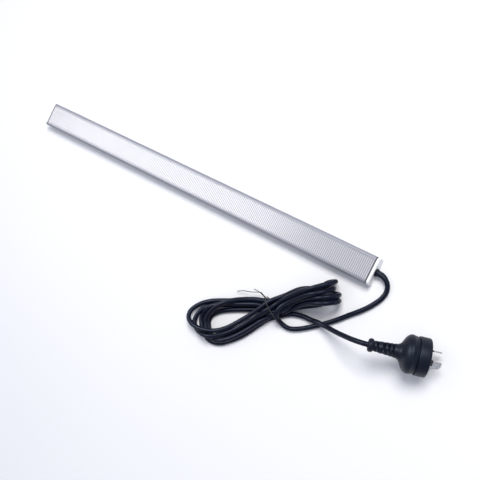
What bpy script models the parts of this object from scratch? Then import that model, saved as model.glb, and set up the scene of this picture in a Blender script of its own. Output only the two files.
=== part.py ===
"""Slim mains-powered LED light bar: aluminium channel with a ribbed lens, a driver inside its cable end,
and a black cord, folded into a tied hank, that ends in a moulded plug with three flat pins.

Origin at the bottom centre of the bar, +X towards the cord, +Z up, metres.
"""

import math

import bmesh
import bpy
from mathutils import Matrix, Vector

MM = 0.001
GAP = 0.3 * MM

# Aluminium channel
PROFILE_LENGTH = 500 * MM
PROFILE_WIDTH = 31.5 * MM
PROFILE_HEIGHT = 14 * MM
SHOULDER_RADIUS = 3.6 * MM
FOOT_RADIUS = 2 * MM
WALL = 1.6 * MM
MOUTH_HALF = 12 * MM
GROOVE_DEPTH = 1 * MM
GROOVE_FLOOR = 11.7 * MM
GROOVE_ROOF = 12.9 * MM
LEDGE_HALF = 10.9 * MM
RAIL_HALF = 12.6 * MM
BOARD_SLOT_TOP = 9.9 * MM
BOARD_SLOT_BOTTOM = 8.3 * MM
RAIL_BOTTOM = 7.3 * MM
ARC_STEPS = 6

# Lens
LENS_RIBBED_HALF = 10.4 * MM
LENS_LIP_RISE = 0.3 * MM
LENS_FLANGE = 0.7 * MM
LENS_FLANGE_THICK = 0.6 * MM

# End caps and gaskets
CAP_THICK = 3.2 * MM
CAP_EDGE_BEVEL = 0.5 * MM
SPIGOT_DEPTH = 4 * MM
SPIGOT_HALF = 12.2 * MM
SPIGOT_TOP = 6.9 * MM
GASKET_THICK = 0.8 * MM
CAP_FACE = PROFILE_LENGTH / 2 + GASKET_THICK + 2 * GAP + CAP_THICK
CORD_EXIT_HEIGHT = 7 * MM
BUSH_HOLE_RADIUS = 3.8 * MM

# LED board
BOARD_HALF = 13.8 * MM
BOARD_THICK = 1 * MM
BOARD_CABLE_END = 234 * MM
BOARD_BLIND_END = -246 * MM
LED_COUNT = 18
LED_PITCH = 26 * MM
LED_FIRST = -228 * MM
LED_SIZE = (3.5 * MM, 2.8 * MM, 0.7 * MM)

# Driver
DRIVER_START = 150 * MM
DRIVER_END = 221 * MM
DRIVER_HALF = 11.5 * MM
TRAY_MARGIN = 3 * MM
TRAY_THICK = 0.5 * MM
DRIVER_BOARD_THICK = 1 * MM
WIRE_RADIUS = 0.5 * MM
EARTH_POINT = (0.2345, -0.0085)
EARTH_WIRE_END = (0.2352, -0.0059, 0.00315)
EARTH_BORE_RADIUS = 1.3 * MM

# Cord, bush and hank
CORD_DIAMETER = 5.5 * MM
CORD_REST = CORD_DIAMETER / 2 + 0.05 * MM
BUSH_REACH = 4.2 * MM
STUB = 2 * MM
HANK_SPINE = (Vector((0.1030, -0.1310)), Vector((0.1720, -0.0850)), Vector((0.2265, -0.0395)))
HANK_FLOOR = 1.6 * MM
HANK_LOW_TOP = 17 * MM
HANK_HIGH_TOP = 35.6 * MM
LOBE_HALF = 25 * MM
WAIST_HALF = 12.5 * MM
LEAD_IN_ALONG = 0.53
TIE_ALONG = 0.58
TIE_DIAMETER = 1 * MM
LEAD_IN = (
    (0.2665, -0.0020, 0.0062),
    (0.2712, -0.0064, 0.0050),
    (0.2732, -0.0130, 0.0038),
    (0.2718, -0.0215, 0.0030),
    (0.2660, -0.0325, 0.00285),
    (0.2580, -0.0430, 0.0028),
    (0.2482, -0.0536, 0.0028),
    (0.2393, -0.0634, 0.0028),
    (0.2290, -0.0734, 0.0028),
    (0.2182, -0.0827, 0.0028),
    (0.2080, -0.0905, 0.0028),
    (0.1985, -0.0962, 0.0028),
    (0.1905, -0.0984, 0.0028),
)
LEAD_OUT = (
    (0.2070, -0.0772, 0.0038),
    (0.2120, -0.0765, 0.0055),
    (0.2190, -0.0762, 0.0076),
    (0.2270, -0.0758, 0.0098),
    (0.2345, -0.0754, 0.0124),
    (0.2430, -0.0750, 0.0172),
    (0.2530, -0.0743, 0.0235),
    (0.2630, -0.0731, 0.0302),
    (0.2730, -0.0717, 0.0363),
)

# Plug
PLUG_RADIUS = 19.7 * MM
PLUG_FACE_THICK = 11.5 * MM
PLUG_LENGTH = 57 * MM
PLUG_COLLAR = 3 * MM
PLUG_DIP = 22.4
PLUG_HEADING = 15.2
PLUG_ROLL = -30
PLUG_FACE_CENTRE = Vector((0.3434, -0.0537, 0.0182))
# Distance behind the plug's face and radius there, in mm, from the boot to the rim
BELL_CURVE = (
    (31, 7.3), (29.4, 7.9), (28.2, 8.8), (27.2, 10), (26.3, 11.5), (25.5, 13.1), (24.7, 14.7),
    (23.9, 16), (23, 17.2), (22, 18.2), (20.5, 19.2), (18.5, 19.7), (17.2, 19.7), (13.6, 18.9),
)
PIN_WIDTH = 6.35 * MM
PIN_THICK = 1.63 * MM
LINE_PIN_LENGTH = 13 * MM
EARTH_PIN_LENGTH = 15.5 * MM
PIN_ROOT = 4 * MM
PIN_SLANT = 30
LINE_PIN_SIDE = 6.86 * MM
LINE_PIN_RISE = 3.96 * MM
EARTH_PIN_DROP = 10.31 * MM
SLEEVE_LENGTH = 4 * MM
PINS = (
    ("pin_live", (-LINE_PIN_SIDE, LINE_PIN_RISE), -PIN_SLANT),
    ("pin_neutral", (LINE_PIN_SIDE, LINE_PIN_RISE), PIN_SLANT),
    ("pin_earth", (0, -EARTH_PIN_DROP), 0),
)


def clear_scene():
    for old in list(bpy.data.objects):
        bpy.data.objects.remove(old, do_unlink=True)


def material(name, colour, roughness, metallic=0.0):
    made = bpy.data.materials.new(name)
    made.use_nodes = True
    shader = made.node_tree.nodes["Principled BSDF"]
    shader.inputs["Base Color"].default_value = (*colour, 1.0)
    shader.inputs["Roughness"].default_value = roughness
    shader.inputs["Metallic"].default_value = metallic
    return made


def link(name, data, look):
    made = bpy.data.objects.new(name, data)
    bpy.context.scene.collection.objects.link(made)
    data.materials.append(look)
    return made


def mesh_object(name, shape, look, smooth=False):
    """A bmesh made into an object with its faces pointing out."""
    bmesh.ops.recalc_face_normals(shape, faces=shape.faces)
    mesh = bpy.data.meshes.new(name)
    shape.to_mesh(mesh)
    shape.free()
    if smooth:
        mesh.shade_smooth()
        mesh.set_sharp_from_angle(angle=math.radians(35))
    return link(name, mesh, look)


def extruded(name, outline, axis_from, axis_to, look, along="X", smooth=False):
    """A closed outline drawn across one axis and pulled along it."""
    shape = bmesh.new()
    if along == "X":
        corners = [shape.verts.new((axis_from, a, b)) for a, b in outline]
        move = Vector((axis_to - axis_from, 0, 0))
    else:
        corners = [shape.verts.new((a, b, axis_from)) for a, b in outline]
        move = Vector((0, 0, axis_to - axis_from))
    start = shape.faces.new(corners)
    pulled = bmesh.ops.extrude_face_region(shape, geom=[start], use_keep_orig=True)
    moved = [item for item in pulled["geom"] if isinstance(item, bmesh.types.BMVert)]
    bmesh.ops.translate(shape, verts=moved, vec=move)
    return mesh_object(name, shape, look, smooth)


def box(name, size, centre, look):
    shape = bmesh.new()
    bmesh.ops.create_cube(shape, size=1.0)
    bmesh.ops.scale(shape, verts=shape.verts, vec=size)
    made = mesh_object(name, shape, look)
    made.location = centre
    return made


def turned(name, profile, look, steps=32):
    """A profile of (distance along X, radius) points spun about the X axis into one closed body."""
    shape = bmesh.new()
    rings = []
    for distance, radius in profile:
        ring = []
        for step in range(steps):
            angle = 2 * math.pi * step / steps
            ring.append(shape.verts.new((distance, radius * math.cos(angle), radius * math.sin(angle))))
        rings.append(ring)
    for first, second in zip(rings, rings[1:]):
        for step in range(steps):
            after = (step + 1) % steps
            shape.faces.new((first[step], first[after], second[after], second[step]))
    shape.faces.new(rings[0])
    shape.faces.new(list(reversed(rings[-1])))
    return mesh_object(name, shape, look, smooth=True)


def tube(name, points, radius, look, cyclic=False, sides=3):
    """A round cord or wire through the given points."""
    curve = bpy.data.curves.new(name, "CURVE")
    curve.dimensions = "3D"
    curve.bevel_depth = radius
    curve.bevel_resolution = sides
    curve.use_fill_caps = not cyclic
    spline = curve.splines.new("POLY")
    spline.points.add(len(points) - 1)
    for knot, point in zip(spline.points, points):
        knot.co = (*point, 1.0)
    spline.use_cyclic_u = cyclic
    spline.use_smooth = True
    return link(name, curve, look)


def cut(target, tool):
    """Takes the tool's shape away from the target."""
    tool.hide_render = True
    tool.display_type = "WIRE"
    step = target.modifiers.new("cut_" + tool.name, "BOOLEAN")
    step.operation = "DIFFERENCE"
    step.solver = "EXACT"
    step.object = tool


def arc(centre, radius, start, end, steps=ARC_STEPS):
    points = []
    for step in range(steps + 1):
        angle = math.radians(start + (end - start) * step / steps)
        points.append((centre[0] + radius * math.cos(angle), centre[1] + radius * math.sin(angle)))
    return points


def both_sides(half):
    """A half outline at positive Y, with its mirror image."""
    other = [(-across, up) for across, up in reversed(half) if across > 1e-9]
    return half + other


def outer_half():
    """Outer half outline of the channel, from its foot to the top of its shoulder."""
    edge = PROFILE_WIDTH / 2
    foot = arc((edge - FOOT_RADIUS, FOOT_RADIUS), FOOT_RADIUS, -90, 0, 4)
    shoulder_centre = (edge - SHOULDER_RADIUS, PROFILE_HEIGHT - SHOULDER_RADIUS)
    return foot + arc(shoulder_centre, SHOULDER_RADIUS, 0, 90)


def channel_outline():
    inner = PROFILE_WIDTH / 2 - WALL
    half = outer_half()
    half += [(MOUTH_HALF, PROFILE_HEIGHT), (MOUTH_HALF, GROOVE_ROOF)]
    half += [(MOUTH_HALF + GROOVE_DEPTH, GROOVE_ROOF), (MOUTH_HALF + GROOVE_DEPTH, GROOVE_FLOOR)]
    half += [(LEDGE_HALF, GROOVE_FLOOR), (LEDGE_HALF, BOARD_SLOT_TOP)]
    half += [(inner, BOARD_SLOT_TOP), (inner, BOARD_SLOT_BOTTOM)]
    half += [(RAIL_HALF, BOARD_SLOT_BOTTOM), (RAIL_HALF, RAIL_BOTTOM), (inner, RAIL_BOTTOM), (inner, WALL)]
    return both_sides(half)


def lens_outline():
    mouth = MOUTH_HALF - GAP
    bottom = GROOVE_FLOOR + GAP
    flange = MOUTH_HALF + LENS_FLANGE
    half = [(mouth - 1 * MM, bottom), (flange, bottom), (flange, bottom + LENS_FLANGE_THICK)]
    half += [(mouth, bottom + LENS_FLANGE_THICK), (mouth, PROFILE_HEIGHT)]
    half += [(LENS_RIBBED_HALF, PROFILE_HEIGHT), (LENS_RIBBED_HALF, PROFILE_HEIGHT - LENS_LIP_RISE)]
    return both_sides(half)


def make_housing(looks):
    half_length = PROFILE_LENGTH / 2
    metal = looks["aluminium"]
    profile = extruded("profile", channel_outline(), -half_length, half_length, metal, smooth=True)
    hole_shape = [(0, EARTH_BORE_RADIUS), (2 * MM, EARTH_BORE_RADIUS)]
    screw_hole = turned("earth_screw_hole", hole_shape, metal, 16)
    screw_hole.rotation_euler = (0, -math.pi / 2, 0)
    screw_hole.location = (*EARTH_POINT, 0.6 * MM)
    cut(profile, screw_hole)
    extruded("lens", lens_outline(), -half_length, half_length, looks["lens"])


def make_cap(name, side, looks):
    """An end cap with a spigot inside the channel; side is +1 at the cord and -1 at the blind end."""
    inner_face = side * (PROFILE_LENGTH / 2 + GASKET_THICK + 2 * GAP)
    outer_face = inner_face + side * CAP_THICK
    cap = extruded(name, both_sides(outer_half()), inner_face, outer_face, looks["cap"], smooth=True)
    edge = cap.modifiers.new("edge", "BEVEL")
    edge.width = CAP_EDGE_BEVEL
    edge.segments = 1
    edge.limit_method = "ANGLE"
    edge.angle_limit = math.radians(60)
    spigot_from = inner_face + side * 1 * MM
    spigot_to = side * (PROFILE_LENGTH / 2 - SPIGOT_DEPTH)
    middle = (spigot_from + spigot_to) / 2
    low = WALL + GAP
    size = (abs(spigot_to - spigot_from), 2 * SPIGOT_HALF, SPIGOT_TOP - low)
    spigot = box(name + "_spigot", size, (middle, 0, (low + SPIGOT_TOP) / 2), looks["cap"])
    spigot.hide_render = True
    spigot.display_type = "WIRE"
    join = cap.modifiers.new("spigot", "BOOLEAN")
    join.operation = "UNION"
    join.solver = "EXACT"
    join.object = spigot
    return cap


def make_gasket(name, side, looks):
    inner_face = side * (PROFILE_LENGTH / 2 + GAP)
    outer_face = inner_face + side * GASKET_THICK
    gasket = extruded(name, both_sides(outer_half()), inner_face, outer_face, looks["gasket"], smooth=True)
    size = (4 * GASKET_THICK, 2 * SPIGOT_HALF + 2 * GAP, SPIGOT_TOP - WALL + GAP)
    window = box(name + "_window", size, (inner_face, 0, (SPIGOT_TOP + WALL + GAP) / 2), looks["gasket"])
    cut(gasket, window)
    return gasket


def make_ends(looks):
    cable_cap = make_cap("end_cap_cable", 1, looks)
    make_cap("end_cap_blind", -1, looks)
    gasket = make_gasket("gasket_cable", 1, looks)
    make_gasket("gasket_blind", -1, looks)
    hole = turned("bush_hole", [(0, BUSH_HOLE_RADIUS), (20 * MM, BUSH_HOLE_RADIUS)], looks["cap"], 24)
    hole.location = (PROFILE_LENGTH / 2 - 8 * MM, 0, CORD_EXIT_HEIGHT)
    cut(cable_cap, hole)
    cut(gasket, hole)


def make_strain_relief(looks):
    """A flared bush: shank inside the channel, neck through the cap, collar and taper outside."""
    collar = CAP_FACE + GAP
    profile = [(CAP_FACE - 15.8 * MM, 2.7 * MM), (CAP_FACE - 15.2 * MM, 3.2 * MM)]
    profile += [(collar, 3.4 * MM), (collar, 4.5 * MM), (collar + 0.5 * MM, 4.7 * MM)]
    profile += [(collar + 1.1 * MM, 4.5 * MM), (collar + 2.2 * MM, 3.7 * MM)]
    profile += [(collar + BUSH_REACH, 3.2 * MM)]
    bush = turned("strain_relief", profile, looks["rubber"], 28)
    bush.location = (0, 0, CORD_EXIT_HEIGHT)


def make_led_board(looks):
    length = BOARD_CABLE_END - BOARD_BLIND_END
    base = BOARD_SLOT_BOTTOM + GAP
    centre = ((BOARD_CABLE_END + BOARD_BLIND_END) / 2, 0, base + BOARD_THICK / 2)
    box("led_board", (length, 2 * BOARD_HALF, BOARD_THICK), centre, looks["board_white"])
    height = base + BOARD_THICK + GAP + LED_SIZE[2] / 2
    for index in range(LED_COUNT):
        place = (LED_FIRST + index * LED_PITCH, 0, height)
        box(f"led_{index + 1:02d}", LED_SIZE, place, looks["phosphor"])


def make_driver(looks):
    tray_base = WALL + GAP
    board_base = tray_base + TRAY_THICK + GAP
    deck = board_base + DRIVER_BOARD_THICK + GAP
    middle = (DRIVER_START + DRIVER_END) / 2
    length = DRIVER_END - DRIVER_START
    tray_size = (length + 2 * TRAY_MARGIN, 2 * DRIVER_HALF + TRAY_MARGIN / 2, TRAY_THICK)
    box("insulating_tray", tray_size, (middle, 0, tray_base + TRAY_THICK / 2), looks["tray"])
    board_size = (length, 2 * DRIVER_HALF, DRIVER_BOARD_THICK)
    box("driver_board", board_size, (middle, 0, board_base + DRIVER_BOARD_THICK / 2), looks["board_green"])
    box("bridge_rectifier", (5 * MM, 4 * MM, 1.6 * MM), (0.202, 0.004, deck + 0.8 * MM), looks["package"])
    box("driver_chip", (5 * MM, 4 * MM, 1.4 * MM), (0.168, -0.005, deck + 0.7 * MM), looks["package"])
    fuse = turned("fuse", [(0, 1.6 * MM), (8 * MM, 1.6 * MM)], looks["fuse"], 16)
    fuse.location = (0.208, -0.006, deck + 1.6 * MM)
    for name, start, across in (("input_capacitor", 0.184, -0.003), ("output_capacitor", 0.155, 0.005)):
        can = turned(name, [(0, 1.9 * MM), (9 * MM, 1.9 * MM)], looks["can"], 20)
        can.location = (start, across, deck + 1.9 * MM)
    coil = turned("inductor", [(0, 3 * MM), (3.6 * MM, 3 * MM)], looks["package"], 20)
    coil.rotation_euler = (0, -math.pi / 2, 0)
    coil.location = (0.178, 0.005, deck)
    return deck


def make_wires(looks, deck):
    pad = deck + 0.6 * MM
    start = CAP_FACE - 16.2 * MM
    for name, across, look in (("wire_live", 1.6 * MM, "brown"), ("wire_neutral", -0.2 * MM, "blue")):
        points = [(start, across, CORD_EXIT_HEIGHT)]
        points += [(start - 3 * MM, across * 1.5, CORD_EXIT_HEIGHT - 0.4 * MM)]
        points += [(start - 9 * MM, across * 2.5, pad + 1 * MM), (DRIVER_END - 3 * MM, across * 3, pad)]
        tube(name, points, WIRE_RADIUS, looks[look], sides=2)
    points = [(start, -1.9 * MM, CORD_EXIT_HEIGHT)]
    points += [(start - 1.5 * MM, -3.5 * MM, CORD_EXIT_HEIGHT - 1 * MM)]
    points += [(start - 2.2 * MM, -5 * MM, CORD_EXIT_HEIGHT - 3.4 * MM), EARTH_WIRE_END]
    tube("wire_earth", points, WIRE_RADIUS, looks["earth"], sides=2)
    top = BOARD_SLOT_BOTTOM - 0.2 * MM
    for name, across, look in (("wire_led_plus", 9.5 * MM, "red"), ("wire_led_minus", -9.5 * MM, "black")):
        points = [(DRIVER_START + 2 * MM, across, pad), (DRIVER_START - 0.5 * MM, across, pad + 0.8 * MM)]
        points += [(DRIVER_START - 2 * MM, across, pad + 2 * MM), (DRIVER_START - 2 * MM, across, top)]
        tube(name, points, WIRE_RADIUS, looks[look], sides=2)


def make_earth_point(looks):
    base = WALL + GAP
    ring = turned("earth_terminal", [(0, 2.2 * MM), (0.5 * MM, 2.2 * MM)], looks["tinned"], 20)
    ring.rotation_euler = (0, -math.pi / 2, 0)
    ring.location = (*EARTH_POINT, base)
    bore_shape = [(-1 * MM, EARTH_BORE_RADIUS), (2 * MM, EARTH_BORE_RADIUS)]
    bore = turned("earth_terminal_bore", bore_shape, looks["tinned"], 16)
    bore.rotation_euler = ring.rotation_euler
    bore.location = ring.location
    cut(ring, bore)
    under_head = 0.5 * MM + 2 * GAP + WALL
    shape = [(0.9 * MM, 0.9 * MM), (under_head, 0.9 * MM), (under_head, 2 * MM)]
    shape += [(under_head + 0.9 * MM, 1.8 * MM), (under_head + 1.2 * MM, 1.1 * MM)]
    screw = turned("earth_screw", shape, looks["steel"], 16)
    screw.rotation_euler = (0, -math.pi / 2, 0)
    screw.location = (*EARTH_POINT, 0)


def smooth_route(anchors, step):
    """Points along a centripetal curve through the anchors, one every step or so."""
    first = 2 * Vector(anchors[0]) - Vector(anchors[1])
    last = 2 * Vector(anchors[-1]) - Vector(anchors[-2])
    knots = [first] + [Vector(anchor) for anchor in anchors] + [last]
    fine = []
    for index in range(1, len(knots) - 2):
        p0, p1, p2, p3 = knots[index - 1:index + 3]
        t1 = (p1 - p0).length ** 0.5
        t2 = t1 + (p2 - p1).length ** 0.5
        t3 = t2 + (p3 - p2).length ** 0.5
        for part in range(24):
            t = t1 + (t2 - t1) * part / 24
            a1 = p0 * ((t1 - t) / t1) + p1 * (t / t1)
            a2 = p1 * ((t2 - t) / (t2 - t1)) + p2 * ((t - t1) / (t2 - t1))
            a3 = p2 * ((t3 - t) / (t3 - t2)) + p3 * ((t - t2) / (t3 - t2))
            b1 = a1 * ((t2 - t) / t2) + a2 * (t / t2)
            b2 = a2 * ((t3 - t) / (t3 - t1)) + a3 * ((t - t1) / (t3 - t1))
            fine.append(b1 * ((t2 - t) / (t2 - t1)) + b2 * ((t - t1) / (t2 - t1)))
    fine.append(knots[-2])
    length = sum((b - a).length for a, b in zip(fine, fine[1:]))
    count = max(2, round(length / step))
    kept = [fine[0]]
    travelled = 0.0
    for before, after in zip(fine, fine[1:]):
        travelled += (after - before).length
        if travelled >= length * len(kept) / count and len(kept) < count:
            kept.append(after)
    kept.append(fine[-1])
    return kept


def hank_outline():
    """Plan of the hank: a wide lobe of open loops, a tied waist, and a bundle of folds."""
    side_a = []
    side_b = []
    for step in range(25):
        along = step / 24
        spine = spine_point(along)
        tangent = (spine_point(along + 0.01) - spine_point(along - 0.01)).normalized()
        normal = Vector((-tangent.y, tangent.x))
        half = spine_half(along)
        side_a.append(spine + normal * half)
        side_b.append(spine - normal * half)
    left = round_end(side_a[0], side_b[0], 8)
    right = round_end(side_b[-1], side_a[-1], 8)
    outline = side_b + right + list(reversed(side_a)) + left
    return [(point.x, point.y) for point in outline]


def round_end(first, second, steps):
    """The points of a half circle from first to second, without its two ends."""
    centre = (first + second) / 2
    arm = first - centre
    points = []
    for step in range(1, steps):
        angle = math.pi * step / steps
        turn = Matrix.Rotation(angle, 2)
        points.append(centre + turn @ arm)
    return points


def spine_point(along):
    """Middle line of the hank, from the centre of the open loops to the centre of the folds."""
    first, waist, last = HANK_SPINE
    bend = 2 * waist - (first + last) / 2
    return first * (1 - along) ** 2 + bend * 2 * along * (1 - along) + last * along ** 2


def spine_half(along):
    """Half width of the hank along its middle line."""
    lobe = LOBE_HALF * max(0.0, 1 - along / 0.62) ** 0.8
    return WAIST_HALF + (lobe if along < 0.62 else 0) * (1 - WAIST_HALF / LOBE_HALF)


def hank_top(x, y):
    """Height of the hank's slanted top, which rises from the open loops to the folds."""
    first, _, last = HANK_SPINE
    run = last - first
    share = ((x - first.x) * run.x + (y - first.y) * run.y) / run.length_squared
    reach = WAIST_HALF / run.length
    share = min(max((share + reach) / (1 + 2 * reach), 0), 1)
    return HANK_LOW_TOP + (HANK_HIGH_TOP - HANK_LOW_TOP) * share


def make_hank(look):
    """One closed solid of the hank's outer shape, its top slanting up to the folds."""
    hank = extruded("cord_hank", hank_outline(), HANK_FLOOR, HANK_LOW_TOP, look, along="Z", smooth=True)
    for vertex in hank.data.vertices:
        if vertex.co.z > HANK_FLOOR + GAP:
            vertex.co.z = hank_top(vertex.co.x, vertex.co.y)
    return hank


def hank_side(along, away):
    """A point beside the hank, away from the bar, at the height of a cord that lies on the surface."""
    spine = spine_point(along)
    tangent = (spine_point(along + 0.01) - spine_point(along - 0.01)).normalized()
    reach = spine_half(along) + away
    return Vector((spine.x + tangent.y * reach, spine.y - tangent.x * reach, CORD_REST))


def make_cord(looks):
    bush_end = Vector((CAP_FACE + 2 * GAP + BUSH_REACH, 0, CORD_EXIT_HEIGHT))
    start = (bush_end + Vector((STUB, 0, 0)),)
    before_side = (hank_side(LEAD_IN_ALONG, STUB),)
    lead_in = [bush_end] + smooth_route(start + LEAD_IN + before_side, 9 * MM)
    lead_in.append(hank_side(LEAD_IN_ALONG, 1.5 * GAP))
    tube("cord_lead_in", lead_in, CORD_DIAMETER / 2, looks["rubber"])
    make_hank(looks["rubber"])
    plug_back = -PLUG_LENGTH - PLUG_COLLAR - GAP
    lead_out = smooth_route(LEAD_OUT + (plug_point(plug_back - STUB),), 9 * MM)
    lead_out.append(plug_point(plug_back))
    tube("cord_lead_out", lead_out, CORD_DIAMETER / 2, looks["rubber"])


def make_tie(looks):
    """A wire hoop round the waist of the hank."""
    spine = spine_point(TIE_ALONG)
    tangent = (spine_point(TIE_ALONG + 0.01) - spine_point(TIE_ALONG - 0.01)).normalized()
    normal = Vector((-tangent.y, tangent.x))
    clear = GAP + TIE_DIAMETER / 2 + 0.4 * MM
    reach = spine_half(TIE_ALONG) + clear
    low = HANK_FLOOR - GAP - TIE_DIAMETER / 2
    high = hank_top(spine.x, spine.y) + clear
    corners = [(reach, low), (reach, high), (-reach, high), (-reach, low)]
    points = []
    for across, up in corners:
        points.append(Vector((spine.x + normal.x * across, spine.y + normal.y * across, up)))
    tube("wire_tie", points, TIE_DIAMETER / 2, looks["tie"], cyclic=True, sides=2)


def make_plug(looks):
    """The plug is built with its face at the origin and its pins along +X, then laid on its rim."""
    seat = bpy.data.objects.new("plug_seat", None)
    bpy.context.scene.collection.objects.link(seat)
    heading = Matrix.Rotation(math.radians(PLUG_HEADING), 3, "Z")
    dip = Matrix.Rotation(math.radians(PLUG_DIP), 3, "Y")
    roll = Matrix.Rotation(math.radians(PLUG_ROLL), 3, "X")
    seat.matrix_world = Matrix.Translation(PLUG_FACE_CENTRE) @ (heading @ dip @ roll).to_4x4()
    thick = PLUG_FACE_THICK
    rim = [(-thick, 18.2 * MM), (-thick + 1 * MM, PLUG_RADIUS - 0.2 * MM), (-1.2 * MM, PLUG_RADIUS)]
    rim += [(-0.3 * MM, PLUG_RADIUS - 0.6 * MM), (0, PLUG_RADIUS - 1.6 * MM)]
    face = turned("plug_face", rim, looks["rubber"], 48)
    body = turned("plug_body", plug_body_profile(), looks["rubber"], 40)
    face.parent = seat
    body.parent = seat
    for name, place, slant in PINS:
        make_pin(name, place, slant, seat, face, looks)


def plug_point(along):
    """A point on the plug's axis, measured from its face towards its pins."""
    heading = math.radians(PLUG_HEADING)
    dip = math.radians(PLUG_DIP)
    axis = Vector((math.cos(heading) * math.cos(dip), math.sin(heading) * math.cos(dip), -math.sin(dip)))
    return PLUG_FACE_CENTRE + axis * along


def plug_body_profile():
    """From the collar where the cord enters, along the ribbed boot, to the bell behind the face."""
    start = -PLUG_LENGTH
    end = -PLUG_FACE_THICK - GAP
    profile = [(start - PLUG_COLLAR, 3.6 * MM), (start - 2.6 * MM, 5.6 * MM), (start - 1 * MM, 6.8 * MM)]
    profile += [(start + 1 * MM, 6.8 * MM), (start + 2.8 * MM, 5.6 * MM), (start + 3.2 * MM, 4.5 * MM)]
    for rib in range(4):
        rib_start = start + 4 * MM + rib * 4.6 * MM
        radius = 5.5 * MM + rib * 0.25 * MM
        profile += [(rib_start, radius), (rib_start + 3 * MM, radius + 0.15 * MM)]
        profile += [(rib_start + 3.2 * MM, 4.6 * MM), (rib_start + 4.4 * MM, 4.6 * MM)]
    neck = start + 22.4 * MM
    profile += [(neck, 6.8 * MM)]
    for back, radius in BELL_CURVE:
        profile.append((-back * MM, radius * MM))
    profile += [(end - 1.5 * MM, 18.3 * MM), (end, 18.2 * MM)]
    return profile


def make_pin(name, place, slant, seat, face, looks):
    """A flat pin in a slot of the face; live and neutral pins have a sleeve over a thinner root."""
    earth = name == "pin_earth"
    length = EARTH_PIN_LENGTH if earth else LINE_PIN_LENGTH
    turn = Matrix.Rotation(math.radians(slant), 4, "X")
    frame = Matrix.Translation((0, place[0], place[1])) @ turn
    bare_from = -PIN_ROOT if earth else SLEEVE_LENGTH + GAP
    blade = pin_shape(bare_from, length, PIN_WIDTH, PIN_THICK)
    if not earth:
        bmesh_box(blade, (-PIN_ROOT, SLEEVE_LENGTH + 1 * MM), 4.9 * MM, 0.7 * MM)
        pin = union_of(name, blade, looks["nickel"])
        sleeve_name = name.replace("pin", "sleeve")
        shell = bmesh.new()
        bmesh_box(shell, (-PIN_ROOT + GAP, SLEEVE_LENGTH), PIN_WIDTH, PIN_THICK)
        sleeve = mesh_object(sleeve_name, shell, looks["sleeve"])
        bore = bmesh.new()
        bmesh_box(bore, (-2 * PIN_ROOT, 2 * SLEEVE_LENGTH), 5.3 * MM, 1.03 * MM)
        bore_object = mesh_object(name + "_bore", bore, looks["sleeve"])
        cut(sleeve, bore_object)
        for item in (sleeve, bore_object):
            item.parent = seat
            item.matrix_local = frame
    else:
        pin = mesh_object(name, blade, looks["nickel"])
    slot = bmesh.new()
    bmesh_box(slot, (-PIN_ROOT - 2 * GAP, 5 * MM), PIN_WIDTH + 2 * GAP, PIN_THICK + 2 * GAP)
    slot_object = mesh_object(name + "_slot", slot, looks["rubber"])
    cut(face, slot_object)
    for item in (pin, slot_object):
        item.parent = seat
        item.matrix_local = frame


def bmesh_box(shape, span, width, thick):
    """Adds a box along X to a bmesh: width stands along local Z and thickness along local Y."""
    made = bmesh.ops.create_cube(shape, size=1.0)["verts"]
    bmesh.ops.scale(shape, verts=made, vec=(span[1] - span[0], thick, width))
    bmesh.ops.translate(shape, verts=made, vec=((span[0] + span[1]) / 2, 0, 0))


def pin_shape(start, end, width, thick):
    """A flat blade with a chamfered tip."""
    shape = bmesh.new()
    rings = []
    tip_chamfer = 1.2 * MM
    for distance, factor, slim in ((start, 1, 1), (end - tip_chamfer, 1, 1), (end, 0.62, 0.5)):
        high = width / 2 * factor
        deep = thick / 2 * slim
        corners = ((-deep, -high), (deep, -high), (deep, high), (-deep, high))
        rings.append([shape.verts.new((distance, across, up)) for across, up in corners])
    for first, second in zip(rings, rings[1:]):
        for step in range(4):
            after = (step + 1) % 4
            shape.faces.new((first[step], first[after], second[after], second[step]))
    shape.faces.new(rings[0])
    shape.faces.new(list(reversed(rings[-1])))
    return shape


def union_of(name, shape, look):
    """Joins the overlapping shells of a bmesh into one body."""
    whole = mesh_object(name, shape, look)
    joined = whole.modifiers.new("one_body", "BOOLEAN")
    joined.operation = "UNION"
    joined.solver = "EXACT"
    joined.use_self = True
    joined.operand_type = "COLLECTION"
    joined.collection = EMPTY_GROUP
    return whole


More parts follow.
